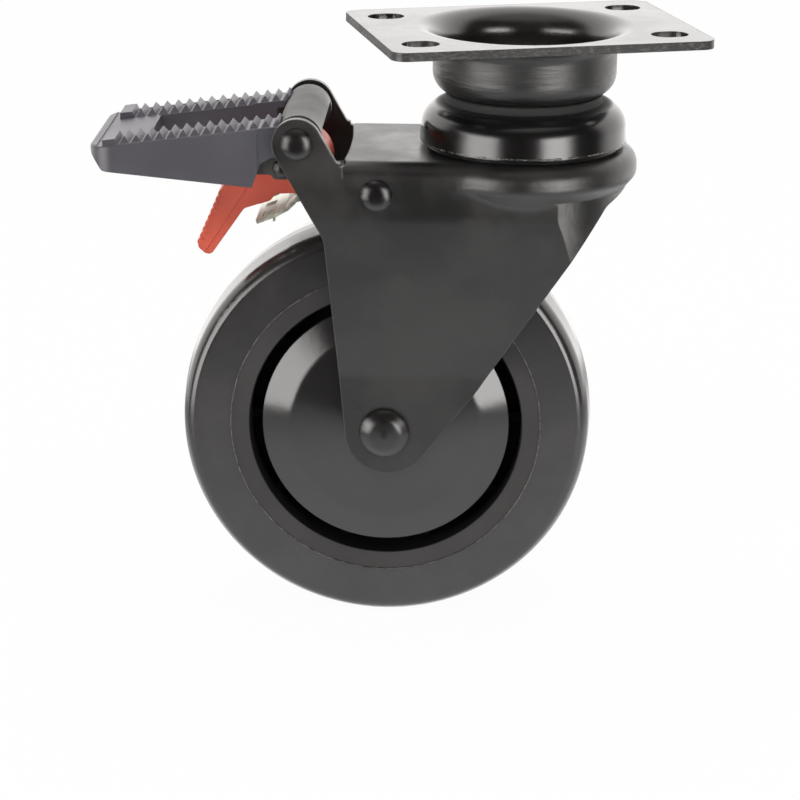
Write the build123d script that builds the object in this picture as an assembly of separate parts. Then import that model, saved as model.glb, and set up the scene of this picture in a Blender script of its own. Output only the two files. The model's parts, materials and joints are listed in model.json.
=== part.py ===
from build123d import *
from math import acos, asin, atan2, cos, degrees, hypot, pi, radians, sin, sqrt, tan
import os

# Swivel castor with a top plate, a pressed fork, a 125 mm wheel and a total-lock brake.
#
# Frame: millimetres, +Z up, origin at the middle of the top plate's upper face, on the
# swivel axis, with the plate's long side along X. Everything under the swivel bearing is
# drawn with the wheel trailing along -X and is then turned about Z by rest_swivel.

# ---------------------------------------------------------------- driving dimensions
rest_swivel = -15.0          # how far the fork stands turned from the plate's long side

# top plate and its deep-drawn cup
plate_length = 95.0
plate_width = 70.0
plate_thick = 2.5
plate_corner_r = 4.5
slot_spacing_x = 74.0
slot_spacing_y = 45.0
slot_length = 11.0
slot_width = 9.0
cup_r = 27.2                 # outside of the cup's wall
cup_depth = 19.8             # plate face to the outside of the cup's floor
cup_roll_r = 7.5             # rolled lip, measured on the upper face
cup_corner_r = 6.5           # outside corner between wall and floor

# dust cover between cup and fork
cover_thick = 2.0
cover_neck_height = 2.5
cover_overhang = 3.2         # crown's round front beyond the cover's rim
cover_shelf_width = 7.5      # cover's rim beyond its neck
cover_shoulder_r = 7.0
cover_height = 14.0

# swivel bearing
race_height = 4.4
race_half = 7.5              # bore of the upper race to the middle of its balls
upper_ball_r = 3.5
upper_ball_count = 16
lower_ball_r = 3.0
lower_pitch_r = 14.5
lower_ball_count = 12
ball_play = 0.05
lower_race_r = 19.5
lower_race_bore_r = 8.0
lower_race_thick = 3.5
lock_ring_r = 26.0
lock_ring_thick = 2.5
lock_notch_count = 18
lock_notch_width = 4.2
lock_notch_depth = 3.4
king_pin_r = 6.0
king_head_r = 11.0
king_head_height = 4.0
king_washer_r = 11.5
king_washer_thick = 2.0
king_nut_flat = 18.0
king_nut_height = 7.0
king_pin_tail = 1.6          # thread left standing under the nut

# pressed fork
fork_thick = 2.5
fork_half = 29.5             # outside of the upper fork walls, from the middle plane
foot_half = 22.5             # outside of the legs at the axle
crown_top = -35.5
crown_r = 34.0               # round front of the crown
leg_step = 2.8               # round front of the legs, inside the crown's
crown_sweep_r = 20.0         # hollow arcs that carry the crown's bulge into the walls
crown_fold_r = 5.0
crown_rise = 2.0             # race plateau above the crown's flat
plateau_edge = 6.6           # crown's round front beyond the plateau
crown_bore_r = 9.0
skirt_low = -43.0            # lower end of the crown's round skirt
skirt_fillet_r = 3.0         # where the skirt runs into the flat walls
skirt_blend = 8.0            # height over which the skirt runs into the flat legs
skirt_slope = 6.5            # and how far it comes in over that height
lean_high = -52.0            # legs are upright above this height
lean_low = -102.0            # and upright again below this one
lean_bend_r = 18.0
crown_rear_x = -51.1
crown_rear_r = 300.0         # shallow curve of the crown's rear edge
ear_r = 7.3
ear_lean = 61.0              # slope of the ear's edges, degrees from level
knee_z = -58.4
foot_r = 12.8
foot_ahead = 0.9             # middle of the rounding at the foot of the leg, ahead of the axle
foot_drop = 0.3              # and under it
relief_r = 0.8               # relief hole where ear and fold part

# places of the pivots, on the trailing side
axle_x = -40.3
wheel_top = -57.3            # highest point of the tyre
ear_x = -65.5
ear_z = -29.85
brake_x = -42.5
brake_z = -44.7
lever_x = -70.2
lever_z = -38.7

# rivets, tubes and axle
ear_pin_r = 3.5
ear_tube_r = 5.0
brake_pin_r = 3.0
brake_tube_r = 4.5
rivet_head_r = 4.7
rivet_head_height = 2.0
lever_pin_r = 2.0
lever_pin_head_r = 2.9
axle_r = 4.0
axle_head_r = 7.6
axle_head_height = 3.4
axle_nut_flat = 13.0
axle_nut_height = 6.5
axle_washer_r = 8.0
axle_washer_thick = 1.6
fit = 0.05                   # radial play of a running fit

# wheel
tyre_r = 62.5
tyre_half = 16.0
tyre_shoulder_r = 6.5
tread_depth = 15.5           # tyre's thickness over the rim
tyre_key_depth = 3.0
tyre_key_half = 6.0
rim_band = 5.7
rim_half = 15.7
web_half = 2.5
hub_r = 18.5
hub_half = 16.6
spoke_count = 10
spoke_thick = 3.0
spoke_half = 6.0
bearing_outer_r = 14.0
bearing_inner_r = 6.0
bearing_width = 8.0
bearing_ball_r = 2.0
bearing_ball_count = 8
guard_gap = 3.7              # between rim and guard
guard_rim_y = 14.3
guard_flange = 8.7           # width of the guard's steep outer band
guard_flange_rise = 3.0
guard_round_r = 9.0          # soft bend between that band and the disc
guard_thick = 1.5
guard_boss_r = 11.0

# pedal, its steel bracket, the release lever and the brake plate
bracket_half = 22.5
bracket_thick = 2.0
bracket_roll_r = 6.9
bracket_roll_end = 17.0      # where the roll's sheet ends, degrees above level
bracket_reach = -101.0
pedal_half = 25.0
pedal_deck = 2.2
pedal_toe_x = -126.9
pedal_toe_r = 7.0
pedal_deck_x = -124.5
pedal_deck_z = -32.3
pedal_deck_slope = 7.0
pedal_toe_height = 7.1
pedal_edge_r = 1.0
lip_x = -124.4               # inner edge of the lip along the toe
lip_depth = 0.35
pedal_rear_x = -77.6
pedal_rear_low = -44.0
slot_half = 12.2
slot_end_x = -109.8
slot_rib = 1.5
slot_rib_depth = 6.0
tooth_count = 14
tooth_pitch = 3.44
tooth_height = 1.8
tooth_first_x = -116.2
tooth_outer = 24.4
block_height = 1.5
block_length = 4.6
lever_half = 7.0
lever_hub_r = 3.3
grip_count = 9               # scallops under the thumb
grip_pitch = 2.05
grip_r = 1.0
lever_step = 0.35            # the blade's thinner edge
lever_turn = 70.0            # how far the lever turns in the pedal
cam_r = 9.5
cam_x = 3.8                  # cam centre from the lever's pivot
cam_z = -2.0
plate_half = 15.0
plate_sheet = 1.2
plate_window_half = 7.6      # gap between the plate's arms, where the cam works
saddle_slope = 15.0
saddle_gap = 0.6
plate_boss_r = 5.4
claw_depth = 1.6
claw_pitch = 11.2
spring_thick = 0.6
spring_half = 5.0

# ---------------------------------------------------------------- derived heights
cup_floor = -cup_depth
cover_shelf = cup_floor - cover_neck_height
cover_rim = cup_floor - cover_height
race_top = cover_shelf - cover_thick
race_low = race_top - race_height
plateau = crown_top + crown_rise
upper_ball_z = race_low - upper_ball_r + 1.2
lower_ball_z = plateau - fork_thick - lower_ball_r + 0.4
lower_race_top = lower_ball_z - 1.4
lock_ring_top = lower_race_top - lower_race_thick
lock_ring_low = lock_ring_top - lock_ring_thick
king_washer_low = lock_ring_low - king_washer_thick
king_nut_low = king_washer_low - king_nut_height
foot_in = foot_half - fork_thick
fork_in = fork_half - fork_thick
leg_round_r = crown_r - leg_step
plateau_r = crown_r - plateau_edge
cover_rim_r = crown_r - cover_overhang
cover_neck_r = cover_rim_r - cover_shelf_width
upper_pitch_r = plateau_r - upper_ball_r - 1.4
race_bore_r = upper_pitch_r - race_half
axle_z = wheel_top - tyre_r
foot_x = axle_x + foot_ahead
foot_z = axle_z - foot_drop
tyre_seat_r = tyre_r - tread_depth
tyre_key_r = tyre_seat_r + tyre_key_depth
rim_r = tyre_seat_r - rim_band
guard_r = rim_r - guard_gap
guard_step_r = guard_r - guard_flange
guard_step_y = guard_rim_y + guard_flange_rise
bearing_mid = hub_half - bearing_width / 2
bearing_pitch = (bearing_outer_r + bearing_inner_r) / 2


# ---------------------------------------------------------------- drawing helpers
def outline(plane, corners):
    """Closed face through corners (a, b) or (a, b, radius) on a plane."""
    count = len(corners)
    edges = []
    ends = []
    for i, corner in enumerate(corners):
        here = Vector(corner[0], corner[1])
        if len(corner) == 2:
            ends.append((here, here))
            continue
        before = Vector(*corners[i - 1][:2]) - here
        after = Vector(*corners[(i + 1) % count][:2]) - here
        before, after = before.normalized(), after.normalized()
        half = acos(max(-1.0, min(1.0, before.dot(after)))) / 2
        reach = corner[2] / tan(half)
        middle = here + (before + after).normalized() * (corner[2] / sin(half) - corner[2])
        start, end = here + before * reach, here + after * reach
        edges.append(ThreePointArc(start, middle, end))
        ends.append((start, end))
    for i in range(count):
        start, end = ends[i][1], ends[(i + 1) % count][0]
        if (end - start).length > 1e-6:
            edges.append(Line(start, end))
    return plane * make_face(edges)


def turned_ring(*corners):
    """Solid of revolution about Z; corners are (radius, height[, rounding])."""
    return revolve(outline(Plane.XZ, corners), Axis.Z, 360)


def side_cut(corners, y_low, y_high):
    """Prism of a side view (X, Z) between two values of Y."""
    face = outline(Plane.XZ, corners)
    return Pos(0, y_high, 0) * extrude(face, y_high - y_low, dir=(0, -1, 0))


def cross_rod(x, z, radius, y_low, y_high):
    """Round bar along Y."""
    middle = (y_low + y_high) / 2
    return Pos(x, middle, z) * Rot(90, 0, 0) * Cylinder(radius, y_high - y_low)


def cross_tube(x, z, outer, inner, y_low, y_high):
    return cross_rod(x, z, outer, y_low, y_high) - cross_rod(x, z, inner, y_low - 1, y_high + 1)


def both_sides(part):
    """A piece and its mirror image across the middle plane."""
    return part + mirror(part, Plane.XZ)


def rivet_head(x, z, y, side, radius, height):
    """Domed head seated at y, standing out to side (+1 or -1)."""
    profile = outline(Plane.XZ, [(0, 0), (radius, 0), (radius, 0.35 * height, 0.25 * height),
                                 (0.62 * radius, 0.9 * height, 0.6 * height), (0, height)])
    head = revolve(profile, Axis.Z, 360)
    return Pos(x, y, z) * Rot(-90 * side, 0, 0) * head


def hexagon(flat, height, low):
    return Pos(0, 0, low) * extrude(RegularPolygon(flat / 2, 6, major_radius=False), height)


def ball_ring(radius, count, pitch, z):
    """Loose balls of one row, one solid each."""
    return [Rot(0, 0, 360 * i / count) * Pos(pitch, 0, z) * Sphere(radius) for i in range(count)]


# ---------------------------------------------------------------- plate side of the swivel
def make_top_plate():
    wall = cup_r - plate_thick
    roll = wall + cup_roll_r
    floor = cup_floor + plate_thick
    sheet = extrude(RectangleRounded(plate_length, plate_width, plate_corner_r), -plate_thick)
    sheet -= Pos(0, 0, -plate_thick) * Cylinder(roll, 4 * plate_thick)
    cup = turned_ring(
        (king_pin_r, floor), (wall, floor, cup_corner_r - plate_thick), (wall, 0, cup_roll_r),
        (roll + 0.01, 0), (roll + 0.01, -plate_thick),
        (cup_r, -plate_thick, cup_roll_r - plate_thick), (cup_r, cup_floor, cup_corner_r),
        (king_pin_r, cup_floor))
    plate = sheet + cup
    slot = extrude(SlotOverall(slot_length, slot_width), 2 * plate_thick, both=True)
    for place in GridLocations(slot_spacing_x, slot_spacing_y, 2, 2):
        plate -= place * slot
    return plate


def make_dust_cover():
    inside = cover_rim_r - cover_thick
    return turned_ring(
        (king_pin_r, cup_floor), (cover_neck_r, cup_floor, 0.6), (cover_neck_r, cover_shelf, 0.2),
        (cover_rim_r - 0.4, cover_shelf, cover_shoulder_r), (cover_rim_r, cover_rim),
        (inside, cover_rim), (inside - 0.4, race_top, cover_shoulder_r - cover_thick),
        (cover_neck_r - cover_thick, race_top), (cover_neck_r - cover_thick, cup_floor - cover_thick),
        (king_pin_r, cup_floor - cover_thick))


def make_upper_race():
    outer = cover_rim_r - cover_thick - 1.0
    ring = turned_ring((race_bore_r, race_top), (outer, race_top, cover_shoulder_r - cover_thick),
                       (outer, race_low), (race_bore_r, race_low))
    return ring - Pos(0, 0, upper_ball_z) * Torus(upper_pitch_r, upper_ball_r + ball_play)


def make_lower_race():
    ring = turned_ring((lower_race_bore_r, lower_race_top), (lower_race_r, lower_race_top, 0.8),
                       (lower_race_r, lock_ring_top), (lower_race_bore_r, lock_ring_top))
    return ring - Pos(0, 0, lower_ball_z) * Torus(lower_pitch_r, lower_ball_r + ball_play)


def make_lock_ring():
    disc = turned_ring((king_pin_r, lock_ring_top), (lock_ring_r, lock_ring_top),
                       (lock_ring_r, lock_ring_low), (king_pin_r, lock_ring_low))
    notch = Box(2 * lock_notch_depth, lock_notch_width, 3 * lock_ring_thick)
    middle = (lock_ring_top + lock_ring_low) / 2
    for i in range(lock_notch_count):
        disc -= Rot(0, 0, 360 * i / lock_notch_count) * Pos(lock_ring_r, 0, middle) * notch
    return disc


def make_king_pin():
    seat = cup_floor + plate_thick
    return turned_ring(
        (0, seat + king_head_height), (king_head_r, seat + king_head_height, 3.4),
        (king_head_r, seat), (king_pin_r, seat), (king_pin_r, king_nut_low - king_pin_tail, 1.0),
        (0, king_nut_low - king_pin_tail))


def make_king_washer():
    return turned_ring((king_pin_r, lock_ring_low), (king_washer_r, lock_ring_low),
                       (king_washer_r, king_washer_low), (king_pin_r, king_washer_low))


def make_king_nut():
    nut = hexagon(king_nut_flat, king_nut_height, king_nut_low)
    return nut - Pos(0, 0, king_nut_low) * Cylinder(king_pin_r, 3 * king_nut_height)


# ---------------------------------------------------------------- fork
def crown_plan(inset):
    """The crown from above: its round front sweeps out of the flat walls in two hollow arcs."""
    half, round_r, sweep = fork_half - inset, crown_r - inset, crown_sweep_r + inset
    rise = half + sweep
    back = -sqrt((round_r + sweep) ** 2 - rise ** 2)
    share = round_r / (round_r + sweep)
    start, join, centre = Vector(back, half), Vector(back * share, rise * share), Vector(back, rise)
    middle = centre + ((start + join) / 2 - centre).normalized() * sweep
    start_low, middle_low, join_low = [Vector(place.X, -place.Y) for place in (start, middle, join)]
    return make_face([ThreePointArc(start, middle, join), ThreePointArc(join, Vector(round_r, 0), join_low),
                      ThreePointArc(join_low, middle_low, start_low), Line(start_low, start)])


def fork_envelope(inset):
    """Solid inside the fork's outer skin, with the skin moved in by inset."""
    low = axle_z - foot_r - 5 - inset
    half, foot = fork_half - inset, foot_half - inset
    top, fold = crown_top - inset, crown_fold_r - inset
    right = [(foot, low), (foot, lean_low, lean_bend_r), (half, lean_high, lean_bend_r), (half, top, fold)]
    left = [(-corner[0], *corner[1:]) for corner in reversed(right)]
    rear = ear_x - 2 * ear_r
    channel = extrude(outline(Plane.YZ, right + left), crown_r - rear, dir=(1, 0, 0))
    channel = Pos(rear, 0, 0) * channel
    behind = Pos(rear / 2, 0, low) * Box(-rear, 3 * fork_half, -4 * low)
    front_height = skirt_low + 2 - low
    front = Pos(0, 0, low + front_height / 2) * Cylinder(leg_round_r - inset, front_height)
    # the crown's bulge, folded over at the top and sloping back into the legs below
    crown = Pos(0, 0, top) * extrude(crown_plan(inset), skirt_low - skirt_blend - top)
    crown = fillet(crown.faces().sort_by(Axis.Z)[-1].edges().filter_by(GeomType.CIRCLE), fold)
    foot_edges = crown.faces().sort_by(Axis.Z)[0].edges().filter_by(GeomType.CIRCLE)
    crown = chamfer(foot_edges, skirt_blend, skirt_slope)
    body = (channel & (behind + front)) + crown
    # soften where the slope runs out into the walls, and the crease along its top
    seams = body.edges().filter_by(GeomType.HYPERBOLA)
    creases = body.edges().filter_by(GeomType.CIRCLE).filter_by_position(Axis.Z, skirt_low, skirt_low)
    return fillet(seams + creases, skirt_fillet_r)


def ear_direction():
    along = Vector(cos(radians(ear_lean)), -sin(radians(ear_lean)))
    return along, Vector(-along.Y, along.X)


def tangent_x(from_x, from_z, side, at_z):
    """X at height at_z of the line from a point tangent to the round foot of the leg."""
    dx, dz = foot_x - from_x, foot_z - from_z
    angle = atan2(dz, dx) + side * asin(foot_r / hypot(dx, dz))
    return from_x + (at_z - from_z) / tan(angle)


def fork_side_view(crown_edge):
    """Side outline of ear, crown and leg; crown_edge is the height of its upper side."""
    along, across = ear_direction()
    ear = Vector(ear_x, ear_z)
    peak_rear = ear - along * ear_r - across * ear_r
    peak_front = ear - along * ear_r + across * ear_r
    front = ear + across * ear_r
    front += along * ((front.Y - crown_top) / sin(radians(ear_lean)))
    rear = ear - across * ear_r
    rear += along * ((rear.Y - knee_z) / sin(radians(ear_lean)))
    low = foot_z - foot_r
    return [
        (rear.X, rear.Y, 8), (peak_rear.X, peak_rear.Y, ear_r - 0.01),
        (peak_front.X, peak_front.Y, ear_r - 0.01), (front.X, front.Y, 1.5),
        (crown_rear_x - 1.2, crown_top), (crown_rear_x - 1.2, crown_edge), (crown_r + 2, crown_edge),
        (crown_r + 2, -43.8), (24.6, -49.6, 4), (14.4, -64.5, 20), (-13.0, -106.9, 60),
        (tangent_x(-13.0, -106.9, 1, low), low, foot_r),
        (tangent_x(rear.X, rear.Y, -1, low), low, foot_r)]


def crown_race():
    """Middle of the crown: raised plateau with a pressed ball groove."""
    under = plateau - fork_thick
    edge = crown_r - crown_fold_r - 0.3
    ring = turned_ring(
        (crown_bore_r, plateau), (plateau_r, plateau, 0.8), (edge - 0.1, crown_top, 0.3),
        (edge, crown_top), (edge, crown_top - fork_thick), (plateau_r - 1.6, crown_top - fork_thick, 0.8),
        (plateau_r - 2.6, under, 0.8), (crown_bore_r, under))
    groove = upper_ball_r + ball_play
    bulge = Pos(0, 0, upper_ball_z) * Torus(upper_pitch_r, groove + fork_thick)
    ring += bulge & Pos(0, 0, under - 4.95) * Cylinder(crown_r, 10)
    ring -= Pos(0, 0, upper_ball_z) * Torus(upper_pitch_r, groove)
    return ring - Pos(0, 0, lower_ball_z) * Torus(lower_pitch_r, lower_ball_r + ball_play)


def make_fork():
    shell = fork_envelope(0) - fork_envelope(fork_thick)
    shell &= side_cut(fork_side_view(plateau + 2), -2 * fork_half, 2 * fork_half)
    edge = crown_r - crown_fold_r - 0.3
    shell -= Pos(0, 0, crown_top) * Cylinder(edge, 8)
    # the ears and the legs behind the crown are flat sheet, so they keep no fold
    behind = Pos(crown_rear_x - crown_r - 1.2, 0, ear_z) * Box(2 * crown_r, 4 * fork_half, 4 * ear_r)
    shell -= behind
    half, top = fork_half, ear_z + 2 * ear_r
    sheet = outline(Plane.YZ, [(-half, top), (-half, knee_z + 8), (-fork_in, knee_z + 8), (-fork_in, top)])
    ears = extrude(sheet, 2 * crown_r, dir=(1, 0, 0))
    ears = Pos(crown_rear_x - 1.2 - 2 * crown_r, 0, 0) * ears
    low = knee_z + 8
    ears &= side_cut(fork_side_view(plateau), -2 * fork_half, 2 * fork_half)
    shell += both_sides(ears & Pos(crown_rear_x - 1.2 - crown_r, 0, low + 25) * Box(2 * crown_r, 4 * fork_half, 50))
    # rear edge of the crown is a shallow hollow curve between the ears
    bay = Pos(crown_rear_x - crown_rear_r, 0, crown_top) * Cylinder(crown_rear_r, 8)
    shell -= bay & Pos(crown_rear_x - 4, 0, crown_top) * Box(12, 2 * fork_in, 8)
    shell += crown_race()
    relief = cross_rod(crown_rear_x - 1.2, crown_top - 0.4, relief_r, fork_in - 3, fork_half + 1)
    shell -= both_sides(relief)
    wide = 2 * fork_half
    shell -= cross_rod(ear_x, ear_z, ear_pin_r, -wide, wide)
    shell -= cross_rod(brake_x, brake_z, brake_pin_r, -wide, wide)
    return shell - cross_rod(axle_x, axle_z, axle_r, -wide, wide)


# ---------------------------------------------------------------- pins of the fork
def cross_rivet(x, z, radius, half, head_r, head_height):
    body = cross_rod(x, z, radius, -half, half)
    for side in (-1, 1):
        body += rivet_head(x, z, side * half, side, head_r, head_height)
    return body


def make_axle_bolt():
    shank = cross_rod(axle_x, axle_z, axle_r, -foot_half, foot_half + axle_washer_thick + axle_nut_height + 2.5)
    return shank + rivet_head(axle_x, axle_z, -foot_half, -1, axle_head_r, axle_head_height)


def make_axle_nut():
    nut = hexagon(axle_nut_flat, axle_nut_height, 0) - Cylinder(axle_r, 4 * axle_nut_height)
    return Pos(axle_x, foot_half + axle_washer_thick, axle_z) * Rot(-90, 0, 0) * nut


# ---------------------------------------------------------------- wheel
def about_axle(part):
    """Move a ring that was turned about Z onto the axle, with its +Z side facing +Y."""
    return Pos(axle_x, 0, axle_z) * Rot(-90, 0, 0) * part


def make_tyre():
    sidewall = tyre_half - 0.4
    crown = turned_ring(
        (tyre_seat_r, -sidewall), (tyre_r - 3.2, -tyre_half, 3.0), (tyre_r - 0.9, -tyre_half + 3.2, 6),
        (tyre_r, -2.5, 14), (tyre_r, 2.5, 14), (tyre_r - 0.9, tyre_half - 3.2, 6),
        (tyre_r - 3.2, tyre_half, 3.0), (tyre_seat_r, sidewall),
        (tyre_seat_r, tyre_key_half), (tyre_key_r, tyre_key_half), (tyre_key_r, -tyre_key_half),
        (tyre_seat_r, -tyre_key_half))
    return about_axle(crown)


def make_rim():
    band = turned_ring((rim_r, -rim_half), (tyre_seat_r, -rim_half), (tyre_seat_r, -tyre_key_half),
                       (tyre_key_r, -tyre_key_half), (tyre_key_r, tyre_key_half),
                       (tyre_seat_r, tyre_key_half), (tyre_seat_r, rim_half), (rim_r, rim_half))
    web = Cylinder(rim_r + 1, 2 * web_half)
    hub = Cylinder(hub_r, 2 * hub_half)
    spoke = Pos((hub_r + rim_r) / 2, 0, 0) * Box(rim_r - hub_r + 2, spoke_thick, 2 * spoke_half)
    wheel = band + web + hub
    for i in range(spoke_count):
        wheel += Rot(0, 0, 360 * i / spoke_count) * spoke
    wheel -= Cylinder(bearing_outer_r - 2.0, 3 * hub_half)
    for side in (-1, 1):
        wheel -= Pos(0, 0, side * (hub_half - bearing_width / 2 + 0.5)) * Cylinder(bearing_outer_r, bearing_width + 1)
    return about_axle(wheel)


def bearing_ring(inner, outer, side):
    ring = Cylinder(outer, bearing_width) - Cylinder(inner, 2 * bearing_width)
    ring -= Torus(bearing_pitch, bearing_ball_r + ball_play)
    return about_axle(Pos(0, 0, side * bearing_mid) * ring)


def bearing_balls(side):
    balls = ball_ring(bearing_ball_r, bearing_ball_count, bearing_pitch, side * bearing_mid)
    return [about_axle(ball) for ball in balls]


def make_guard(side):
    """Dished cover held between the leg and the bearing's inner ring."""
    inner_y = foot_in - guard_thick
    guard = turned_ring(
        (axle_r, foot_in), (guard_boss_r, foot_in, 0.8), (guard_step_r, guard_step_y, guard_round_r),
        (guard_r, guard_rim_y, 0.5), (guard_r, guard_rim_y - guard_thick),
        (guard_step_r - 0.6, guard_step_y - guard_thick, guard_round_r), (guard_boss_r - 1, inner_y),
        (bearing_inner_r + 1.5, inner_y), (bearing_inner_r + 1.5, hub_half), (axle_r, hub_half))
    guard = guard if side > 0 else mirror(guard, Plane.XY)
    return about_axle(guard)


# ---------------------------------------------------------------- pedal and brake
def deck_z(x):
    return pedal_deck_z + (x - pedal_deck_x) * tan(radians(pedal_deck_slope))


def make_pedal_bracket():
    inner = bracket_roll_r - bracket_thick
    roll = cross_tube(ear_x, ear_z, bracket_roll_r, inner, -bracket_half, bracket_half)
    end_angle = radians(bracket_roll_end)
    far = 4 * bracket_roll_r
    keep = [(ear_x, ear_z), (ear_x + far * cos(end_angle), ear_z + far * sin(end_angle)),
            (ear_x + far, ear_z + far), (ear_x - far, ear_z + far), (ear_x - far, ear_z - 1)]
    roll &= side_cut(keep, -bracket_half - 1, bracket_half + 1)
    # cheek: round the pivot, down to the lever's rivet, and forward inside the pedal
    under = deck_z(bracket_reach) - pedal_deck - 0.2
    neck = ear_x - bracket_roll_r - 2
    cheek = [(bracket_reach, under - 5.5, 2), (bracket_reach, under, 1),
             (neck, deck_z(neck) - pedal_deck - 0.2), (ear_x, ear_z + 2),
             (ear_x + 2, ear_z - bracket_roll_r + 0.6, 2), (lever_x + 3.4, lever_z - 0.8, 3),
             (lever_x + 2.6, lever_z - 3.3, 2.4), (lever_x - 2.6, lever_z - 3.3, 1.2),
             (lever_x - 3.4, lever_z - 1.9, 1), (lever_x - 8, lever_z - 1.9, 2)]
    plate = side_cut(cheek, -bracket_half, -bracket_half + bracket_thick)
    plate += cross_rod(ear_x, ear_z, bracket_roll_r, -bracket_half, -bracket_half + bracket_thick)
    bracket = roll + both_sides(plate)
    bracket -= cross_rod(ear_x, ear_z, ear_tube_r + fit, -2 * bracket_half, 2 * bracket_half)
    return bracket - cross_rod(lever_x, lever_z, lever_pin_r, -2 * bracket_half, 2 * bracket_half)


def make_tooth(x):
    """Ridge across one row: a triangle in side view with hipped ends."""
    half = tooth_pitch / 2
    base, peak = deck_z(x) - lip_depth - 0.3, deck_z(x) + tooth_height
    inner, outer = slot_half + 0.2, tooth_outer
    rise = 0.9 * tooth_height
    slope = tan(radians(pedal_deck_slope)) * half
    corners = [Vector(x - half, inner, base - slope), Vector(x + half, inner, base + slope),
               Vector(x + half, outer, base + slope), Vector(x - half, outer, base - slope)]
    ridge = [Vector(x, inner + rise, peak), Vector(x, outer - rise, peak)]
    faces = [[0, 1, 4], [1, 2, 5, 4], [2, 3, 5], [3, 0, 4, 5], [0, 3, 2, 1]]
    points = corners + ridge
    skin = [Face(Wire.make_polygon([points[i] for i in face], close=True)) for face in faces]
    return Solid(Shell(skin))


def make_foot_pedal():
    toe, toe_low = pedal_toe_x, deck_z(pedal_toe_x) - pedal_toe_height
    front_end = ear_x - bracket_roll_r + 1.0
    side = [(toe, deck_z(toe)), (front_end, deck_z(front_end)), (front_end, -35.0),
            (pedal_rear_x + 4.4, -35.0, 1.5), (pedal_rear_x + 0.9, -37.0, 1),
            (pedal_rear_x - 1.4, pedal_rear_low, 0.6), (toe + 3.9, toe_low, 1.5), (toe, toe_low + 5.2, 3)]
    body = side_cut(side, -pedal_half, pedal_half)
    middle = (toe + ear_x) / 2
    plan = Pos(middle, 0) * RectangleRounded(ear_x - toe, 2 * pedal_half, pedal_toe_r)
    body &= Pos(0, 0, -60) * extrude(plan, 50)
    deck = body.faces().sort_by(Axis.Z)[-1]
    body = fillet(deck.edges().filter_by(Axis.Y, reverse=True), pedal_edge_r)
    # hollow underside with a sloping roof, left solid at the toe
    roof = [(pedal_toe_x + 8, -60), (pedal_toe_x + 8, deck_z(pedal_toe_x + 8) - pedal_deck, 1.5),
            (ear_x, deck_z(ear_x) - pedal_deck), (ear_x, -60)]
    hollow = side_cut(roof, -bracket_half - 0.2, bracket_half + 0.2)
    body -= hollow
    rib_end = front_end - 3.0
    rib = [(slot_end_x - slot_rib, deck_z(slot_end_x - slot_rib) - 0.5),
           (slot_end_x - slot_rib, deck_z(slot_end_x) - slot_rib_depth, 0.5),
           (rib_end, deck_z(rib_end) - slot_rib_depth, 0.5), (rib_end, deck_z(rib_end) - 0.5)]
    body += side_cut(rib, -slot_half - slot_rib, slot_half + slot_rib)
    opening = [(slot_end_x, -60), (slot_end_x, -10), (ear_x, -10), (ear_x, -60)]
    body -= side_cut(opening, -slot_half, slot_half)
    # shallow step towards the ears
    step = Pos(ear_x, 0, ear_z) * Box(2 * (ear_x - pedal_rear_x - 0.1), 100, 60)
    body -= step - Box(300, 2 * pedal_half - 0.8, 300)
    # the rows stand in a shallow tray, inside a narrow lip
    tray_end = pedal_rear_x - 4.0
    tray = [(lip_x, deck_z(lip_x) - lip_depth), (tray_end, deck_z(tray_end) - lip_depth),
            (tray_end, 0), (lip_x, 0)]
    body -= side_cut(tray, -tooth_outer, tooth_outer)
    for side_sign in (-1, 1):
        for i in range(tooth_count):
            tooth = make_tooth(tooth_first_x + i * tooth_pitch)
            body += tooth if side_sign > 0 else mirror(tooth, Plane.XZ)
    block_end = tooth_first_x - tooth_pitch / 2
    block_x = block_end - block_length
    block = [(block_x, deck_z(block_x) - 0.5), (block_x, deck_z(block_x) + block_height),
             (block_end - 1, deck_z(block_end - 1) + block_height), (block_end, deck_z(block_end) - 0.5)]
    body += both_sides(side_cut(block, slot_half + 0.5, tooth_outer))
    return body - cross_rod(ear_x, ear_z, bracket_roll_r + 0.2, -2 * pedal_half, 2 * pedal_half)


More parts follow.
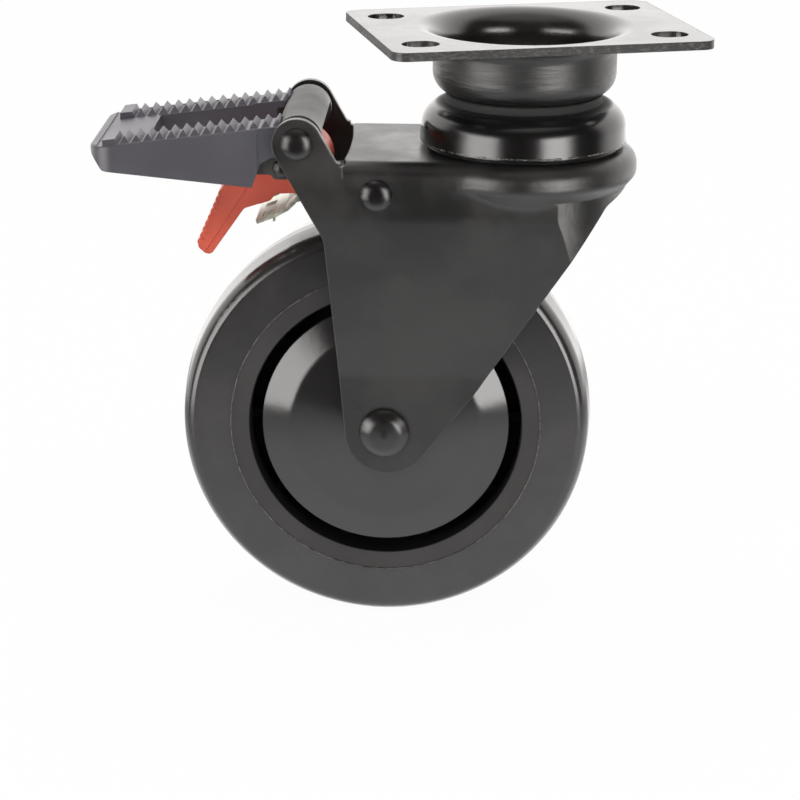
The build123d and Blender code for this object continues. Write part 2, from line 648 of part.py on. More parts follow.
def make_release_lever():
    """Thumb lever with an eccentric cam, hung on the bracket's lower rivet."""
    cam = cross_rod(lever_x + cam_x, lever_z + cam_z, cam_r, -lever_half, lever_half)
    blade = [(-1.9, 2.7), (-19.2, -9.3, 2), (-27.4, -28.0, 1.8), (-23.6, -31.3, 1.8), (-13.0, -16.2, 2),
             (-5.0, -13.6, 2), (-3.5, -11.5), (3.0, -11.2)]
    blade = [(lever_x + corner[0], lever_z + corner[1], *corner[2:]) for corner in blade]
    body = cam + side_cut(blade, -lever_half, lever_half)
    # scallops down the thumb edge, and a step along the blade's other edge
    top, tip = Vector(lever_x - 19.2, lever_z - 9.3), Vector(lever_x - 27.4, lever_z - 28.0)
    along = (tip - top).normalized()
    outward = Vector(along.Y, -along.X)
    for i in range(grip_count):
        place = top + along * (2.2 + i * grip_pitch) - outward * (0.6 * grip_r)
        body -= cross_rod(place.X, place.Y, grip_r, -lever_half - 1, lever_half + 1)
    step = [(-11.5, -9.1), (-25.0, -29.9), (-22.0, -35.0), (-7.0, -17.0)]
    step = [(lever_x + x, lever_z + z) for x, z in step]
    body -= both_sides(side_cut(step, lever_half - lever_step, lever_half + 1))
    hub_half_width = bracket_half - bracket_thick - 0.2
    body += cross_rod(lever_x, lever_z, lever_hub_r, -hub_half_width, hub_half_width)
    # room for the tube on the pedal's pivot, all the way through the lever's turn
    reach = Vector(ear_x - lever_x, ear_z - lever_z)
    start = atan2(reach.Y, reach.X)
    end = start + radians(lever_turn)
    clear = ear_tube_r + 0.4
    middle, far = (start + end) / 2, 4 * reach.length
    wedge = [(lever_x, lever_z)]
    wedge += [(lever_x + far * cos(angle), lever_z + far * sin(angle)) for angle in (start, middle, end)]
    room = side_cut(wedge, -lever_half - 1, lever_half + 1)
    room -= cross_rod(lever_x, lever_z, reach.length - clear, -lever_half - 2, lever_half + 2)
    for angle in (start, end):
        x, z = lever_x + reach.length * cos(angle), lever_z + reach.length * sin(angle)
        room += cross_rod(x, z, clear, -lever_half - 1, lever_half + 1)
    body -= room
    return body - cross_rod(lever_x, lever_z, lever_pin_r + fit, -2 * bracket_half, 2 * bracket_half)


def make_brake_plate():
    """Pressed lever between the legs: tail over the tyre, saddle under the cam, lock tongue."""
    tail_top = [(-79.0, -56.4), (-73.2, -54.1), (-69.9, -52.2)]
    tail_low = [(-69.3, -53.3), (-72.7, -55.2), (-78.6, -57.5)]
    body = side_cut(tail_top + tail_low, -plate_half, plate_half)
    # arms outside the cam, rising behind the tail and running level to the pivot
    eye = cross_rod(brake_x, brake_z, plate_boss_r, -plate_half, -plate_window_half)
    arm = [(-69.9, -52.2), (-68.0, -50.3, 6), (-65.9, -46.9, 4), (-62, -45.3, 4), (brake_x - 3, -44.6),
           (brake_x - 3, -46.0), (-61.8, -46.6, 3), (-64.9, -48.1, 3), (-67.0, -51.1, 5), (-69.3, -53.3)]
    body += both_sides(side_cut(arm, -plate_half, -plate_window_half) + eye)
    # saddle: a flat strip square to the line from the cam, carried on to the pivot
    slope = radians(saddle_slope)
    reach = cam_r + saddle_gap
    touch_x = lever_x + cam_x + reach * sin(slope)
    touch_z = lever_z + cam_z - reach * cos(slope)
    strip = []
    for x, drop in ((-70.1, 0), (brake_x - 2, 0), (brake_x - 2, plate_sheet), (-70.1, plate_sheet)):
        strip.append((x, touch_z + (x - touch_x) * tan(slope) - drop / cos(slope)))
    saddle_half = plate_window_half - 0.4
    body += side_cut(strip, -saddle_half, saddle_half)
    body += cross_rod(brake_x, brake_z, plate_boss_r, -saddle_half, saddle_half)
    # tongue towards the lock ring
    tip_x, tip_z = -24.9, -50.7
    tongue = [(brake_x, brake_z - plate_boss_r), (brake_x + 6, tip_z + 1.0, 2), (tip_x - 2.0, tip_z - 2.0, 1),
              (tip_x - 0.6, tip_z), (tip_x + 0.6, tip_z), (tip_x + 0.6, tip_z - 3.4, 1.2),
              (brake_x + 6, tip_z - 0.4, 2), (brake_x, brake_z - plate_boss_r + 0.6)]
    body += side_cut(tongue, -saddle_half, saddle_half)
    # gripping claws pressed down beside three windows in the tail
    for i in (-1, 0, 1):
        y = i * claw_pitch
        body -= Pos(-75.4, y, -55.2) * Rot(0, -22, 0) * Box(3.4, 4.6, 6)
        claw = [(-73.9, -55.0), (-73.1, -54.6), (-73.3, -55.4 - claw_depth), (-74.1, -55.4 - claw_depth)]
        body += side_cut(claw, y - 2.3, y + 2.3)
    return body - cross_rod(brake_x, brake_z, brake_tube_r + fit, -2 * plate_half, 2 * plate_half)


def make_leaf_spring():
    """Flat spring under the crown that holds the lock tongue down."""
    under = crown_top - fork_thick
    low = under - spring_thick
    strip = [(crown_rear_x + 1, under), (-34.9, under, 2.4), (-31.2, -50.4, 2), (-29.0, -50.9),
             (-29.0, -50.9 - spring_thick), (-31.6, -50.6 - spring_thick, 1.2),
             (-35.4, low, 1.6), (crown_rear_x + 1, low)]
    return side_cut(strip, -spring_half, spring_half)


# ---------------------------------------------------------------- files
def save(name, shape, swivels=True):
    """Write one node; what swivels is turned with the fork."""
    solids = shape if isinstance(shape, list) else [shape]
    if swivels:
        solids = [Rot(0, 0, rest_swivel) * solid for solid in solids]
    whole = solids[0] if len(solids) == 1 else Compound(children=solids)
    export_step(whole, os.path.join("parts", name + ".step"))


os.makedirs("parts", exist_ok=True)

save("top_plate", make_top_plate(), swivels=False)
save("dust_cover", make_dust_cover(), swivels=False)
save("upper_race", make_upper_race(), swivels=False)
save("lower_race", make_lower_race(), swivels=False)
save("lock_ring", make_lock_ring(), swivels=False)
save("king_pin", make_king_pin(), swivels=False)
save("king_pin_washer", make_king_washer(), swivels=False)
save("king_pin_nut", make_king_nut(), swivels=False)

save("fork", make_fork())
save("upper_balls", ball_ring(upper_ball_r, upper_ball_count, upper_pitch_r, upper_ball_z))
save("lower_balls", ball_ring(lower_ball_r, lower_ball_count, lower_pitch_r, lower_ball_z))
save("pedal_pin", cross_rivet(ear_x, ear_z, ear_pin_r, fork_half, rivet_head_r, rivet_head_height))
save("pedal_pin_tube", cross_tube(ear_x, ear_z, ear_tube_r, ear_pin_r, -fork_in, fork_in))
save("brake_pin", cross_rivet(brake_x, brake_z, brake_pin_r, fork_half, rivet_head_r, rivet_head_height))
save("brake_pin_tube", cross_tube(brake_x, brake_z, brake_tube_r, brake_pin_r, -fork_in, fork_in))
save("leaf_spring", make_leaf_spring())
save("axle_bolt", make_axle_bolt())
save("axle_nut", make_axle_nut())
save("axle_washer", cross_tube(axle_x, axle_z, axle_washer_r, axle_r, foot_half, foot_half + axle_washer_thick))
inner_gap = hub_half - bearing_width
save("axle_tube", cross_tube(axle_x, axle_z, bearing_inner_r + 1.5, axle_r, -inner_gap, inner_gap))

for side, end in ((-1, "near"), (1, "far")):
    save("thread_guard_" + end, make_guard(side))
    save("bearing_inner_" + end, bearing_ring(axle_r, bearing_inner_r + 2.5, side))
    save("bearing_outer_" + end, bearing_ring(bearing_outer_r - 2.8, bearing_outer_r, side))
    save("bearing_balls_" + end, bearing_balls(side))

save("wheel_rim", make_rim())
save("tyre", make_tyre())

save("pedal_bracket", make_pedal_bracket())
save("foot_pedal", make_foot_pedal())
save("lever_pin", cross_rivet(lever_x, lever_z, lever_pin_r, bracket_half, lever_pin_head_r, 1.4))
save("release_lever", make_release_lever())
save("brake_plate", make_brake_plate())
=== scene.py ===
import bpy
import json
from math import cos, pi, radians, sin
from mathutils import Matrix, Vector

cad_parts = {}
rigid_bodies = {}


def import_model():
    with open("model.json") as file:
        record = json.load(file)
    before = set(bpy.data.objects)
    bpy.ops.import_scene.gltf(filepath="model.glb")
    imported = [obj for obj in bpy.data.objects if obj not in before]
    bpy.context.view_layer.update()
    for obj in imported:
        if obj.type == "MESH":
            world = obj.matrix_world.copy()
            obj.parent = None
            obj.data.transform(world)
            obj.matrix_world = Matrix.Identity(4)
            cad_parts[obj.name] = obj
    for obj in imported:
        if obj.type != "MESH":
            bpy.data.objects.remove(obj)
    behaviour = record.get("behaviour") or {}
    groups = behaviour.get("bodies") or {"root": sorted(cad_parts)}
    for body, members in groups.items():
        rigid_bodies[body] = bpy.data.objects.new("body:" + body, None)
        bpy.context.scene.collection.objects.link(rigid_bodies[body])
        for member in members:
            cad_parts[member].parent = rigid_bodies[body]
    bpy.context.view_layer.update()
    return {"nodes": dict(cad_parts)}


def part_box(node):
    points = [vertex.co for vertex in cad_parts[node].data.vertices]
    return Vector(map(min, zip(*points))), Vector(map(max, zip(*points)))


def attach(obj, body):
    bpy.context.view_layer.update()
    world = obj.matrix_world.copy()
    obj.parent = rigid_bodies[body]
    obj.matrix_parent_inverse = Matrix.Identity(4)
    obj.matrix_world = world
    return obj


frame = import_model()
nodes = frame["nodes"]
scene = bpy.context.scene
scene.view_settings.view_transform = "Standard"

# ------------------------------------------------------------------ camera
# A long lens looks down on the castor's near side, with the plate's long edge
# running away to the right and the pedal to the left.
sensor_width = 36.0
lens_length = 114.306
camera_place = (-0.20209, -0.71581, 0.13549)
camera_turn = (71.2568, -0.2422, -12.878)
camera_data = bpy.data.cameras.new("camera")
camera_data.sensor_width = sensor_width
camera_data.lens = lens_length
camera = bpy.data.objects.new("camera", camera_data)
camera.location = camera_place
camera.rotation_euler = [radians(angle) for angle in camera_turn]
scene.collection.objects.link(camera)
scene.camera = camera


# ------------------------------------------------------------------ studio
# A white table and backdrop with two tall softboxes in front, left and right, and
# the dark of the room between them, which is what the gloss shows.
class Shade:
    """One socket of a node tree, so that sums on it read as Python."""

    def __init__(self, socket):
        self.socket = socket

    def node(self, kind, settings=None, inputs=None, output=0):
        """A new node in the same tree, its settings first, then its sockets."""
        tree = self.socket.id_data
        made = tree.nodes.new("ShaderNode" + kind)
        for name, value in (settings or {}).items():
            setattr(made, name, value)
        for name, value in (inputs or {}).items():
            if isinstance(value, Shade):
                tree.links.new(value.socket, made.inputs[name])
            else:
                made.inputs[name].default_value = value
        return Shade(made.outputs[output])

    def sum(self, operation, *values):
        return self.node("Math", {"operation": operation}, dict(enumerate(values)))

    def __add__(self, other):
        return self.sum("ADD", self, other)

    def __radd__(self, other):
        return self.sum("ADD", other, self)

    def __sub__(self, other):
        return self.sum("SUBTRACT", self, other)

    def __rsub__(self, other):
        return self.sum("SUBTRACT", other, self)

    def __mul__(self, other):
        return self.sum("MULTIPLY", self, other)

    def __rmul__(self, other):
        return self.sum("MULTIPLY", other, self)

    def __abs__(self):
        return self.sum("ABSOLUTE", self)

    def larger(self, other):
        return self.sum("MAXIMUM", self, other)

    def between(self, low, high, at_low=0.0, at_high=1.0):
        """at_low under low, at_high over high, and a soft step between them."""
        return self.node("MapRange", {"interpolation_type": "SMOOTHSTEP"},
                         {"Value": self, "From Min": low, "From Max": high,
                          "To Min": at_low, "To Max": at_high})

    def band(self, start, full, fading, end):
        """1 from full to fading, 0 before start and past end, and soft steps between."""
        return self.between(start, full) * self.between(fading, end, 1.0, 0.0)

    def blend(self, first, second):
        """The first colour where this is 0 and the second where it is 1."""
        return self.node("Mix", {"data_type": "RGBA"}, {0: self, 6: first, 7: second}, output=2)

    def choose(self, first, second):
        """The first shader where this is 0 and the second where it is 1."""
        return self.node("MixShader", None, {0: self, 1: first, 2: second})

    def part(self, axis):
        """One coordinate of a place."""
        return self.node("SeparateXYZ", None, {"Vector": self}, output="XYZ".index(axis))

    def length(self):
        return self.node("VectorMath", {"operation": "LENGTH"}, {0: self}, output=1)

    def dot(self, other):
        return self.node("VectorMath", {"operation": "DOT_PRODUCT"}, {0: self, 1: other}, output=1)

    def scaled(self, x, y, z):
        return self.node("VectorMath", {"operation": "MULTIPLY"}, {0: self, 1: (x, y, z)})

    def noise(self, scale, detail=2.0, rough=0.5):
        """Soft noise with about this many lumps to a metre."""
        return self.node("TexNoise", None, {"Vector": self, "Scale": scale, "Detail": detail,
                                            "Roughness": rough})

    def into(self, shader, name):
        self.socket.id_data.links.new(self.socket, shader.inputs[name])


half_table = 6.0
table_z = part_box("tyre")[0].z
table = bpy.data.meshes.new("table")
table.from_pydata([(-half_table, -half_table, table_z), (half_table, -half_table, table_z),
                   (half_table, half_table, table_z), (-half_table, half_table, table_z)],
                  [], [(0, 1, 2, 3)])
table_top = bpy.data.objects.new("table", table)
scene.collection.objects.link(table_top)

# The eye sees a white table with faint shadows. Gloss sees it lit under the castor and
# dark further out, where the softboxes show through. From below nothing is seen of it.
white = (1, 1, 1, 1)
table_grey = (0.8, 0.8, 0.8, 1)
glow_share = 0.97
lit_strength = 1.6
lit_r, dark_r = 0.12, 0.42
solid_r, open_r = 0.30, 0.40
white_top = bpy.data.materials.new("white table")
white_top.use_nodes = True
tree = white_top.node_tree
tree.nodes.remove(tree.nodes["Principled BSDF"])
surface = Shade(tree.nodes["Material Output"].inputs["Surface"])
seen = surface.node("LightPath", output="Is Camera Ray")
mirrored = surface.node("LightPath", output="Is Glossy Ray")
below = surface.node("NewGeometry", output="Backfacing")
from_middle = surface.node("TexCoord", output="Object").scaled(1, 1, 0).length()
matt = surface.node("BsdfDiffuse", None, {"Color": table_grey})
glow = surface.node("Emission", None, {"Color": white, "Strength": 1.0})
pale = (seen * glow_share).choose(matt, glow)
floor_light = from_middle.between(lit_r, dark_r, lit_strength, 0.0)
floor_glow = surface.node("Emission", None, {"Color": white, "Strength": floor_light})
nothing = surface.node("BsdfTransparent")
mirror_floor = from_middle.between(solid_r, open_r, 1.0, 0.0).choose(nothing, floor_glow)
from_above = mirrored.choose(pale, mirror_floor)
below.choose(from_above, nothing).into(tree.nodes["Material Output"], "Surface")
table.materials.append(white_top)

# The room, by direction, whose parts run from -1 to 1. Each softbox is a soft-edged band
# from left to right, and both share one from bottom to top. A band's four edges are its
# start, full, fading and end.
turn_to_camera = radians(-15.8)
right_edges, right_strength = (0.28, 0.46, 0.70, 0.86), 11.0
left_edges, left_strength = (-0.97, -0.84, -0.56, -0.38), 8.6
height_edges = (-0.62, -0.2, 0.2, 0.45)
front_whole, front_end = -0.05, 0.35
overhead_start, overhead_whole = 0.7, 0.95
backdrop_strength = 2.2
dark_strength = 0.03
matt_strength = 0.42
warm = (1.0, 0.978, 0.962, 1)
world = bpy.data.worlds.new("studio")
world.use_nodes = True
world.cycles.sampling_method = "NONE"
scene.world = world
tree = world.node_tree
strength = Shade(tree.nodes["Background"].inputs["Strength"])
camera_ray = strength.node("LightPath", output="Is Camera Ray")
glossy_ray = strength.node("LightPath", output="Is Glossy Ray")
toward = strength.node("TexCoord", output="Generated")
to_right = toward.part("X") * cos(turn_to_camera) + toward.part("Y") * sin(turn_to_camera)
to_back = toward.part("Y") * cos(turn_to_camera) - toward.part("X") * sin(turn_to_camera)
up = toward.part("Z")
front = to_back.between(front_whole, front_end, 1.0, 0.0)
both_boxes = to_right.band(*right_edges) * right_strength + to_right.band(*left_edges) * left_strength
boxes = front * up.band(*height_edges) * both_boxes
backdrop = (1 - front) * backdrop_strength
overhead = front * up.between(overhead_start, overhead_whole)
room = dark_strength + backdrop + boxes + overhead
level = camera_ray + glossy_ray * room + (1 - camera_ray) * (1 - glossy_ray) * matt_strength
level.into(tree.nodes["Background"], "Strength")
camera_ray.blend(warm, white).into(tree.nodes["Background"], "Color")

# three lamps for the matt light and the shadows: name, place, size, watts
lamps = (("key", (-0.7, -1.2, 1.5), 1.2, 17.0),
         ("fill", (1.3, -0.9, 0.7), 1.2, 8.0),
         ("top", (0.1, 0.5, 1.7), 1.6, 16.0))
lamp_colour = (1.0, 0.975, 0.955)
lamp_aim = Vector((0, 0, -0.08))
for name, place, size, watts in lamps:
    lamp = bpy.data.lights.new(name, "AREA")
    lamp.size = size
    lamp.energy = watts
    lamp.color = lamp_colour
    holder = bpy.data.objects.new(name, lamp)
    beam = lamp_aim - Vector(place)
    holder.matrix_world = Matrix.Translation(place) @ beam.to_track_quat("-Z", "Y").to_matrix().to_4x4()
    holder.visible_glossy = False
    scene.collection.objects.link(holder)


# ------------------------------------------------------------------ top plate
# 2.5 mm sheet steel, blanked and deep drawn in one piece, then given a thin black
# stove enamel. The blanked edge is torn and takes the enamel unevenly.
def new_finish(name, **constants):
    """A material, its Principled shader and the place on the piece."""
    material = bpy.data.materials.new(name)
    material.use_nodes = True
    shader = material.node_tree.nodes["Principled BSDF"]
    for socket, value in constants.items():
        shader.inputs[socket.replace("_", " ")].default_value = value
    place = Shade(shader.inputs["Base Color"]).node("TexCoord", output="Object")
    return material, shader, place


def soften(shader, place, height, strength, edge=0.0003):
    """Rounds the piece's sharp edges in its gloss and lays a fine relief on it."""
    relief_depth = 0.0001
    sockets = {"Strength": strength, "Distance": relief_depth, "Height": height}
    if edge:
        sockets["Normal"] = place.node("Bevel", {"samples": 4}, {"Radius": edge})
    place.node("Bump", None, sockets).into(shader, "Normal")


def wear(names, material):
    """Puts one finish on CAD nodes."""
    for name in names:
        data = nodes[name].data
        data.materials.clear()
        data.materials.append(material)


plate_enamel, shader, place = new_finish("plate enamel", Coat_Weight=0.05, Coat_Roughness=0.25)
blotch = place.noise(45.0, detail=4.0, rough=0.6).between(0.35, 0.7)
black = blotch.blend((0.011, 0.0105, 0.01, 1), (0.021, 0.02, 0.0195, 1))

# the blanked edge is torn down to flecks of grey steel
half_x, half_y = 0.0475, 0.035
edge_start, edge_whole = 0.0003, 0.0001
edge_x = abs(place.part("X")).between(half_x - edge_start, half_x - edge_whole)
edge_y = abs(place.part("Y")).between(half_y - edge_start, half_y - edge_whole)
blanked = edge_x.larger(edge_y)
torn = place.scaled(1, 1, 3.0).noise(700.0, detail=4.0, rough=0.7).between(0.47, 0.64)
flecked = torn.blend((0.004, 0.004, 0.004, 1), (0.075, 0.072, 0.067, 1))

# the underside and the outside of the cup show streaks round them from the drawing, and their black is a
# painted shade under the plate
wall_weight = 30.0
normal = place.node("TexCoord", output="Normal")
outward = normal.dot(place.scaled(1, 1, 0))
underside = (outward * wall_weight - normal.part("Z")).between(-0.1, 0.1)
drawn = place.scaled(1, 1, 7.0).noise(42.0, detail=4.0, rough=0.6)
# painted shade: the underside and the cup's outside get a darker black
black_with_underside_shade = underside.blend(black, (0.005, 0.0047, 0.0045, 1))
blanked.blend(black_with_underside_shade, flecked).into(shader, "Base Color")
(0.2 + blotch * 0.06 + underside * (0.1 + drawn * 0.25) + blanked * 0.3).into(shader, "Roughness")
torn_relief, streak_relief = 3.0, 26.0
relief = place.noise(1100.0) + torn * blanked * torn_relief + drawn * underside * streak_relief
soften(shader, place, relief, strength=0.25, edge=0.0005)
wear(["top_plate"], plate_enamel)

# ------------------------------------------------------------------ swivel head
# Pressed dust cover in the same enamel but glossier, with a painted shade round its neck,
# darker and rougher, over ground bearing steel; the lock ring, pin, washer and nut under the crown are
# bright zinc.
cover_low, cover_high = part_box("dust_cover")
shade_start, shade_full = cover_high.z - 0.0034, cover_high.z - 0.0022
cover_enamel, shader, place = new_finish("cover enamel")
# painted shade: the band round the neck is painted darker
neck_shade_band = place.part("Z").between(shade_start, shade_full)
neck_shade_band.blend((0.006, 0.0057, 0.0055, 1), (0.002, 0.0019, 0.0018, 1)).into(shader, "Base Color")
(0.17 + place.noise(38.0, detail=5.0, rough=0.62) * 0.06 + neck_shade_band * 0.6).into(shader, "Roughness")
soften(shader, place, place.noise(900.0), strength=0.06)
wear(["dust_cover"], cover_enamel)


class Growth:
    """A Geometry Nodes tree with named sizes, that ends in one plain mesh."""

    def __init__(self, name, **kinds):
        sockets = {tuple: "NodeSocketVector", int: "NodeSocketInt", float: "NodeSocketFloat"}
        self.tree = bpy.data.node_groups.new(name, "GeometryNodeTree")
        self.ids = {label: self.socket(label, "INPUT", sockets[kind]) for label, kind in kinds.items()}
        self.ids["Finish"] = self.socket("Finish", "INPUT", "NodeSocketMaterial")
        self.socket("Geometry", "OUTPUT", "NodeSocketGeometry")
        self.given = self.tree.nodes.new("NodeGroupInput")

    def socket(self, label, direction, kind):
        """A named way in or out of the tree, and its identifier."""
        return self.tree.interface.new_socket(label, in_out=direction, socket_type=kind).identifier

    def size(self, label):
        return self.given.outputs[label]

    def add(self, kind, settings=None, inputs=None, output=0):
        """A new node of the tree, its settings first, then its sockets."""
        made = self.tree.nodes.new(kind)
        for name, value in (settings or {}).items():
            setattr(made, name, value)
        for name, value in (inputs or {}).items():
            if isinstance(value, bpy.types.NodeSocket):
                self.tree.links.new(value, made.inputs[name])
            else:
                made.inputs[name].default_value = value
        return made.outputs[output]

    def ring(self, sides, radius):
        """A circle of so many sides, to follow or as the section of a wire."""
        return self.add("GeometryNodeCurvePrimitiveCircle", {"mode": "RADIUS"},
                        {"Resolution": sides, "Radius": self.size(radius)})

    def close(self, geometry):
        """The tree's end: real geometry in its finish."""
        real = self.add("GeometryNodeRealizeInstances", None, {"Geometry": geometry})
        dressed = self.add("GeometryNodeSetMaterial", None,
                           {"Geometry": real, "Material": self.size("Finish")})
        self.tree.links.new(dressed, self.tree.nodes.new("NodeGroupOutput").inputs[0])

    def grow(self, name, finish, slot, body, place, **sizes):
        """A piece grown from the tree, in its place and riding on its body."""
        seed = bpy.data.objects.new("seed " + name, bpy.data.meshes.new("seed " + name))
        scene.collection.objects.link(seed)
        modifier = seed.modifiers.new("growth", "NODES")
        modifier.node_group = self.tree
        for label, value in {**sizes, "Finish": finish}.items():
            modifier[self.ids[label]] = value
        bpy.context.view_layer.update()
        mesh = bpy.data.meshes.new_from_object(seed.evaluated_get(bpy.context.evaluated_depsgraph_get()))
        seed.modifiers.clear()
        bpy.data.objects.remove(seed)
        mesh.transform(place)
        piece = bpy.data.objects.new(name, mesh)
        scene.collection.objects.link(piece)
        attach(piece, body)


# a bead that follows a circle and wanders a little, as a torn hem or a flash line does
bead = Growth("bead", Radius=float, Wire=float, Wander=float, Grain=float)
at = bead.add("GeometryNodeInputPosition")
ripple = bead.add("ShaderNodeTexNoise", None,
                  {"Vector": at, "Scale": bead.size("Grain"), "Detail": 3.0}, output=1)
centred = bead.add("ShaderNodeVectorMath", {"operation": "SUBTRACT"}, {0: ripple, 1: (0.5, 0.5, 0.5)})
shift = bead.add("ShaderNodeVectorMath", {"operation": "SCALE"},
                 {0: centred, "Scale": bead.size("Wander")})
loose = bead.add("GeometryNodeSetPosition", None, {"Geometry": bead.ring(420, "Radius"), "Offset": shift})
bead.close(bead.add("GeometryNodeCurveToMesh", None,
                    {"Curve": loose, "Profile Curve": bead.ring(8, "Wire")}))

# the sheared hem of the cover, with pale specks along it that are a painted highlight of its edge
hem_finish, shader, place = new_finish("hem of the cover")
# painted highlight: pale grey specks along the hem
hem_glint = place.noise(500.0, detail=4.0, rough=0.7).between(0.45, 0.62)
hem_glint.blend((0.012, 0.012, 0.012, 1), (0.2, 0.195, 0.185, 1)).into(shader, "Base Color")
(0.3 + hem_glint * 0.2).into(shader, "Roughness")
cover_r = (cover_high.x - cover_low.x) / 2
hem_inset = 0.0004
bead.grow("cover_hem", hem_finish, "black_steel", "mount_plate",
          Matrix.Translation((0, 0, cover_low.z + hem_inset)),
          Radius=cover_r - hem_inset, Wire=0.00045, Wander=0.0006, Grain=450.0)


def bright_steel(name, roughness, colour, brushing):
    """Ground or plated steel, whose fine scratches a brushing over 1 draws out level."""
    material, shader, place = new_finish(name, Metallic=1.0)
    scratch = place.scaled(1, 1, brushing).noise(400.0, detail=3.0, rough=0.6)
    darker = tuple(0.72 * channel for channel in colour)
    scratch.between(0.35, 0.65).blend((*darker, 1), (*colour, 1)).into(shader, "Base Color")
    (roughness + (scratch - 0.5) * 0.25).into(shader, "Roughness")
    soften(shader, place, scratch, strength=0.1)
    return material


zinc = bright_steel("zinc plate", roughness=0.3, colour=(0.78, 0.76, 0.69), brushing=1.0)
ground = bright_steel("ground steel", roughness=0.22, colour=(0.62, 0.62, 0.64), brushing=6.0)
wear(["lock_ring", "king_pin", "king_pin_washer", "king_pin_nut"], zinc)
wear(["upper_race", "lower_race", "upper_balls", "lower_balls"], ground)

# rolled thread: a wire of four sides wound round the shank
thread = Growth("thread", Radius=float, Turns=float, Length=float, Depth=float)
winding = thread.add("GeometryNodeCurveSpiral", None,
                     {"Resolution": 36, "Rotations": thread.size("Turns"), "Height": thread.size("Length"),
                      "Start Radius": thread.size("Radius"), "End Radius": thread.size("Radius")})
thread.close(thread.add("GeometryNodeCurveToMesh", None,
                        {"Curve": winding, "Profile Curve": thread.ring(4, "Depth"), "Fill Caps": True}))
thread_depth = 0.0004
pin_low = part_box("king_pin")[0].z
nut_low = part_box("king_pin_nut")[0].z
thread.grow("king_pin_thread", zinc, "zinc_steel", "mount_plate",
            Matrix.Translation((0, 0, pin_low + thread_depth)),
            Radius=0.0057, Turns=2.0, Length=nut_low - pin_low - 2 * thread_depth, Depth=thread_depth)


# ------------------------------------------------------------------ fork
# One pressing of 2.5 mm sheet: a round crown drawn down at the front, two flat legs
# and two ears, all in satin black enamel, with a painted highlight in grey on the sharp edges.
def enamel(name, roughness, tint, orange_peel, edge=0.0003, edge_glint=0.0):
    """Black stove enamel, faintly cloudy, with orange peel, and a painted grey highlight on sharp edges.
    """
    material, shader, place = new_finish(name)
    cloud = place.noise(38.0, detail=5.0, rough=0.62).between(0.32, 0.68)
    darkest = (tint * 0.6, tint * 0.57, tint * 0.55, 1)
    palest = (tint * 1.6, tint * 1.52, tint * 1.47, 1)
    black = cloud.blend(darkest, palest)
    # painted highlight: sharp edges are blended toward a grey
    if edge_glint:
        flat = place.node("NewGeometry", output="Normal")
        rounded = place.node("Bevel", {"samples": 8}, {"Radius": edge})
        sharp = flat.dot(rounded).between(0.8, 0.98, 1.0, 0.0)
        black = sharp.blend(black, (edge_glint, edge_glint * 0.97, edge_glint * 0.94, 1))
    black.into(shader, "Base Color")
    (roughness * 0.85 + cloud * 0.45 * roughness).into(shader, "Roughness")
    soften(shader, place, place.noise(420.0, detail=5.0, rough=0.75) + cloud * 2.0, orange_peel, edge)
    return material


fork_enamel = enamel("fork enamel", roughness=0.345, tint=0.009, orange_peel=0.55, edge=0.0006, edge_glint=0.08)
wear(["fork"], fork_enamel)

# ------------------------------------------------------------------ rivets
# Cold-headed rivets through ears, legs and pedal bracket, blackened and slightly oily,
# so that their domes are glossier than the sheet. The tubes on two of them are zinc.
rivet_black = enamel("blackened rivet", roughness=0.2, tint=0.009, orange_peel=0.1, edge=0.002)
wear(["pedal_pin", "brake_pin", "lever_pin"], rivet_black)
wear(["pedal_pin_tube", "brake_pin_tube"], zinc)

# ------------------------------------------------------------------ wheel
# Solid tread of grey-black rubber moulded round a hard plastic rim, with a thread guard
# on each side; the guards stay still and the wheel turns between them on two bearings.
rest_swivel = radians(-15)
axle = Vector((-0.0403, 0.0, -0.1198))
turned = Matrix.Rotation(rest_swivel, 4, "Z")
on_axle = turned @ Matrix.Translation(axle) @ Matrix.Rotation(-pi / 2, 4, "X")


def about_axle(place):
    """Places measured from the middle of the wheel, with Y along the axle."""
    return place.node("Mapping", {"vector_type": "TEXTURE"},
                      {"Vector": place, "Location": turned @ axle, "Rotation": (0.0, 0.0, rest_swivel)})


parting_r = 0.0583
parting_half, parting_end = 0.00005, 0.00035
rubber, shader, place = new_finish("tread rubber")
bloom = place.noise(35.0, detail=4.0, rough=0.6).between(0.3, 0.75)
bloom.blend((0.026, 0.0245, 0.0245, 1), (0.045, 0.043, 0.043, 1)).into(shader, "Base Color")
(0.19 + bloom * 0.07).into(shader, "Roughness")
from_axle = about_axle(place)
reach = from_axle.scaled(1, 0, 1).length()
parting = abs(reach - parting_r).between(parting_half, parting_end, 1.0, 0.0)
swirl = from_axle.scaled(1, 6, 1).noise(90.0, detail=3.0, rough=0.6)
soften(shader, place, place.noise(1500.0) + parting * 3.0 + swirl * 1.5, strength=0.2)
wear(["tyre"], rubber)

# the thin flash where the tread closes on the rim, on both sides
flash_r = 0.047
flash_y = 0.01585
flash, shader, place = new_finish("tread flash", Roughness=0.4)
torn_flash = place.noise(420.0, detail=4.0, rough=0.7).between(0.4, 0.6)
torn_flash.blend((0.025, 0.024, 0.024, 1), (0.12, 0.117, 0.115, 1)).into(shader, "Base Color")
for side, name in ((-1, "tread_flash_near"), (1, "tread_flash_far")):
    bead.grow(name, flash, "tyre_rubber", "wheel_body",
              on_axle @ Matrix.Translation((0, 0, side * flash_y)),
              Radius=flash_r, Wire=0.0002, Wander=0.0003, Grain=260.0)
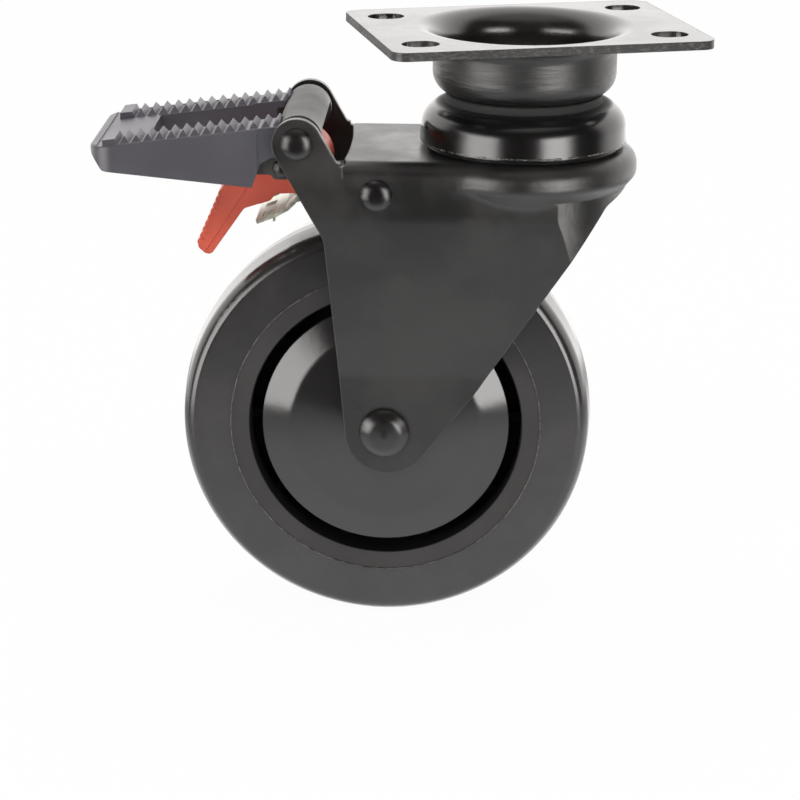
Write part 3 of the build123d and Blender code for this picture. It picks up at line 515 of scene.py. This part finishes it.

# the rim: inside its band the web and spokes are painted near-black, a painted shade for the dark behind
# the guards
dark_within, pale_beyond = 0.0414, 0.0418
rim_plastic, shader, place = new_finish("rim plastic", Specular_IOR_Level=0.2)
reach = about_axle(place).scaled(1, 0, 1).length()
# painted shade: near-black inside the rim band
recess_shade = reach.between(dark_within, pale_beyond, 1.0, 0.0)
cloud = place.noise(40.0, detail=3.0).between(0.3, 0.7)
grey = cloud.blend((0.048, 0.0465, 0.0465, 1), (0.062, 0.06, 0.06, 1))
recess_shade.blend(grey, (0.001, 0.001, 0.001, 1)).into(shader, "Base Color")
(0.4 + recess_shade * 0.4).into(shader, "Roughness")
soften(shader, place, place.noise(1400.0), strength=0.25, edge=0.0004)
wear(["wheel_rim"], rim_plastic)


def moulded(name, roughness, colour, grain, edge=0.0004):
    """Moulded plastic with a fine spark-eroded skin."""
    material, shader, place = new_finish(name)
    cloud = place.noise(40.0, detail=3.0).between(0.3, 0.7)
    darker = tuple(channel * 0.88 for channel in colour)
    paler = tuple(channel * 1.1 for channel in colour)
    cloud.blend((*darker, 1), (*paler, 1)).into(shader, "Base Color")
    (roughness * 0.92 + cloud * 0.16 * roughness).into(shader, "Roughness")
    soften(shader, place, place.noise(grain), strength=0.25, edge=edge)
    return material


guard_plastic = moulded("guard plastic", roughness=0.13, colour=(0.024, 0.023, 0.023), grain=250.0)
wear(["thread_guard_near", "thread_guard_far"], guard_plastic)
for piece in ("bearing_inner", "bearing_outer", "bearing_balls"):
    wear([piece + "_near", piece + "_far"], ground)

# ------------------------------------------------------------------ axle
# Blackened bolt through both legs, with a tube between the bearings and a bright zinc
# washer and nut on the far side. Two turns of rolled thread stand past the nut.
wear(["axle_bolt"], rivet_black)
wear(["axle_nut", "axle_washer", "axle_tube"], zinc)
thread_start = 0.0307
thread.grow("axle_thread", zinc, "zinc_steel", "fork_body",
            on_axle @ Matrix.Translation((0, 0, thread_start)),
            Radius=0.0039, Turns=2.2, Length=0.0021, Depth=thread_depth)

# ------------------------------------------------------------------ pedal
# Glass-filled grey plastic pedal moulded over a pressed black steel bracket whose
# rolled end turns on the ear rivet.
pedal_plastic = moulded("pedal plastic", roughness=0.46, colour=(0.066, 0.064, 0.077), grain=1600.0)
bracket_enamel = enamel("bracket enamel", roughness=0.46, tint=0.016, orange_peel=0.5)
wear(["foot_pedal"], pedal_plastic)
wear(["pedal_bracket"], bracket_enamel)

# ------------------------------------------------------------------ release lever
# Moulded thumb lever in signal red with a cam that presses on the brake plate, and
# nine bars down its thumb edge, moulded with it.
signal_red = (0.8, 0.13, 0.075)
wear(["release_lever"], moulded("lever plastic", roughness=0.42, colour=signal_red, grain=1600.0))

grip = Growth("grip", Start=tuple, End=tuple, Bars=int, Radius=float, Width=float)
row = grip.add("GeometryNodeMeshLine", {"mode": "END_POINTS"},
               {"Count": grip.size("Bars"), "Start Location": grip.size("Start"),
                "Offset": grip.size("End")})
bar = grip.add("GeometryNodeMeshCylinder", None,
               {"Vertices": 20, "Radius": grip.size("Radius"), "Depth": grip.size("Width")})
grip.close(grip.add("GeometryNodeInstanceOnPoints", None,
                    {"Points": row, "Instance": bar, "Rotation": (pi / 2, 0.0, 0.0)}))

bar_count = 9
bar_pitch = 0.00205
bar_r = 0.00125
bar_width = 0.01404
bar_sunk = 0.00075
first_bar = 0.0022
thumb_top = Vector((-0.0894, 0, -0.048))
thumb_tip = Vector((-0.0976, 0, -0.0667))
down = (thumb_tip - thumb_top).normalized()
inward = Vector((-down.z, 0, down.x))
start = thumb_top + down * first_bar + inward * bar_sunk
end = start + down * ((bar_count - 1) * bar_pitch)
grip_plastic = moulded("lever grip plastic", roughness=0.42, colour=signal_red, grain=1600.0, edge=0)
grip.grow("lever_grip", grip_plastic, "lever_plastic", "lever_body", turned,
          Start=tuple(start), End=tuple(end), Bars=bar_count, Radius=bar_r, Width=bar_width)

# ------------------------------------------------------------------ brake plate
# Pressed and hardened steel plate in pale yellow zinc, which claws the tread and
# catches the lock ring, with a bright leaf spring that returns it.
pale_zinc = bright_steel("pale zinc", roughness=0.36, colour=(0.47, 0.46, 0.385), brushing=1.0)
wear(["brake_plate"], pale_zinc)
wear(["leaf_spring"], zinc)
